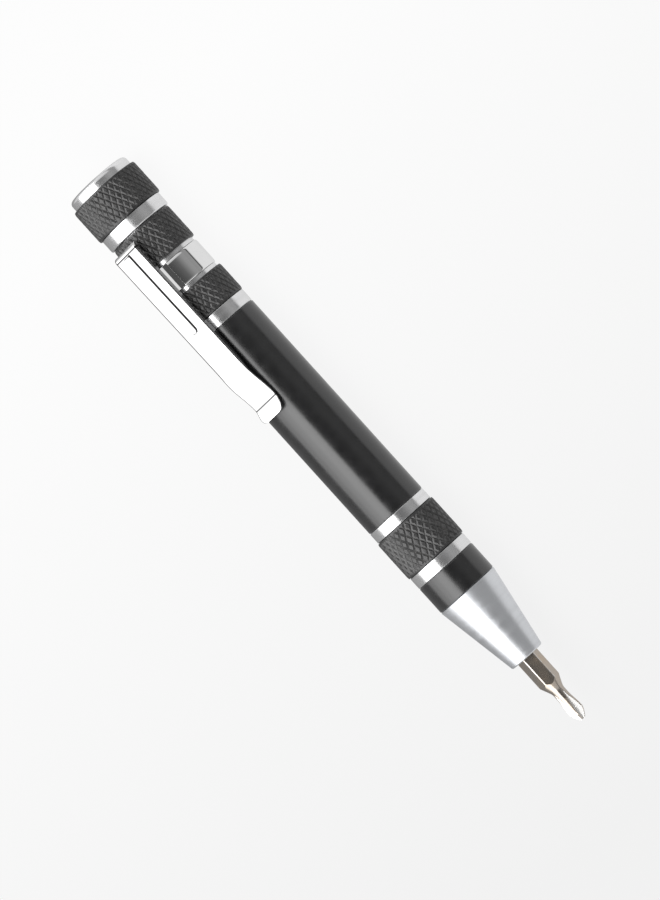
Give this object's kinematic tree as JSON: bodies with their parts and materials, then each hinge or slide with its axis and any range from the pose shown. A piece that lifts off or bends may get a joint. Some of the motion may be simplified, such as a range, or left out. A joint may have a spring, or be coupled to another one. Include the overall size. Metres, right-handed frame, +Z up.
{
  "type": "pocket screwdriver",
  "caption": "Pen-shaped pocket screwdriver with knurled black grips, bright rings, a sprung pocket clip, a magnetic hex nose with a cross-point bit and a rear cap that draws out spare bits.",
  "frame": {"origin": "centre of the flat rear face of the end cap, on the long axis", "axes": "+X along the long axis towards the bit, +Z up through the pocket clip, +Y to the left seen from the rear"},
  "size_m": [0.1308, 0.0144, 0.0159],
  "materials": {
    "bright_aluminium": "satin turned",
    "black_aluminium": "black anodised, gloss",
    "clip_chrome": "polished chrome on spring steel",
    "bit_steel": "dark satin tool steel",
    "socket_steel": "turned",
    "magnet": "nickel plated",
    "seal_rubber": "matte",
    "rack_plastic": "moulded"
  },
  "bodies": {
    "barrel": {"core_tube": "bright_aluminium", "rear_grip": "black_aluminium", "mid_grip": "black_aluminium", "mid_ring": "bright_aluminium", "barrel_sleeve": "black_aluminium", "front_ring": "bright_aluminium", "front_grip": "black_aluminium", "nose_ring": "bright_aluminium", "nose_band": "black_aluminium", "nose_cone": "bright_aluminium", "bit_socket": "socket_steel", "magnet": "magnet", "clip_saddle": "clip_chrome"},
    "clip": {"clip_arm": "clip_chrome"},
    "rack": {"bit_rack": "rack_plastic", "spare_cross_large": "bit_steel", "spare_cross_small": "bit_steel", "spare_slot_large": "bit_steel", "spare_slot_small": "bit_steel", "spare_star_large": "bit_steel", "spare_star_small": "bit_steel"},
    "cap": {"cap_plug": "bright_aluminium", "cap_grip": "black_aluminium", "cap_rim": "bright_aluminium", "cap_o_ring": "seal_rubber"},
    "bit": {"driver_bit": "bit_steel"}
  },
  "joints": [
    {"name": "rack_draw", "type": "slide", "parent": "barrel", "child": "rack", "axis": [-1, 0, 0], "range_m": [0, 0.072]},
    {"name": "cap_turn", "type": "hinge", "parent": "rack", "child": "cap", "pos_m": [0, 0, 0], "axis": [-1, 0, 0], "continuous": true},
    {"name": "bit_pull", "type": "slide", "parent": "barrel", "child": "bit", "axis": [1, 0, 0], "range_m": [0, 0.016]},
    {"name": "clip_flex", "type": "hinge", "parent": "barrel", "child": "clip", "pos_m": [0.0255, 0, 0.00834], "axis": [0, -1, 0], "range_deg": [0, 5], "stiffness_Nm_per_rad": 0.3}
  ]
}
